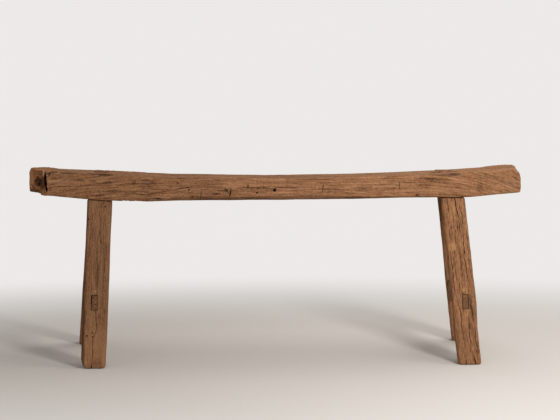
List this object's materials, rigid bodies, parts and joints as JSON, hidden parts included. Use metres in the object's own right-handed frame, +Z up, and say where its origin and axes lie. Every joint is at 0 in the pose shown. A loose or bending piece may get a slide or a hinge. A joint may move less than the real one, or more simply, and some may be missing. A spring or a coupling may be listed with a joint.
{
  "type": "wooden bench",
  "caption": "Long narrow country bench: a thick swaybacked plank seat on splayed legs with through tenons, and a wedged stretcher across each end.",
  "frame": {"origin": "on the floor, under the middle of the bench's bounding box", "axes": "+X along the bench towards the end with the more splayed legs, -Y towards the front, +Z up"},
  "size_m": [1.348, 0.364, 0.516],
  "materials": {
    "seat_wood": "old hand-hewn elm, waxed and worn smooth, with open checks and dark stains",
    "leg_wood": "weathered elm with deep drying checks along the grain",
    "stretcher_wood": "weathered elm, plain sawn",
    "wedge_wood": "split hardwood wedge, darkened end grain"
  },
  "bodies": {
    "root": {"seat_plank": "seat_wood", "leg_front_left": "leg_wood", "leg_front_right": "leg_wood", "leg_rear_left": "leg_wood", "leg_rear_right": "leg_wood", "stretcher_left": "stretcher_wood", "stretcher_right": "stretcher_wood", "seat_wedge_front_left": "wedge_wood", "seat_wedge_front_right": "wedge_wood", "seat_wedge_rear_left": "wedge_wood", "seat_wedge_rear_right": "wedge_wood", "tenon_wedge_front_left": "wedge_wood", "tenon_wedge_front_right": "wedge_wood", "tenon_wedge_rear_left": "wedge_wood", "tenon_wedge_rear_right": "wedge_wood"}
  },
  "joints": []
}
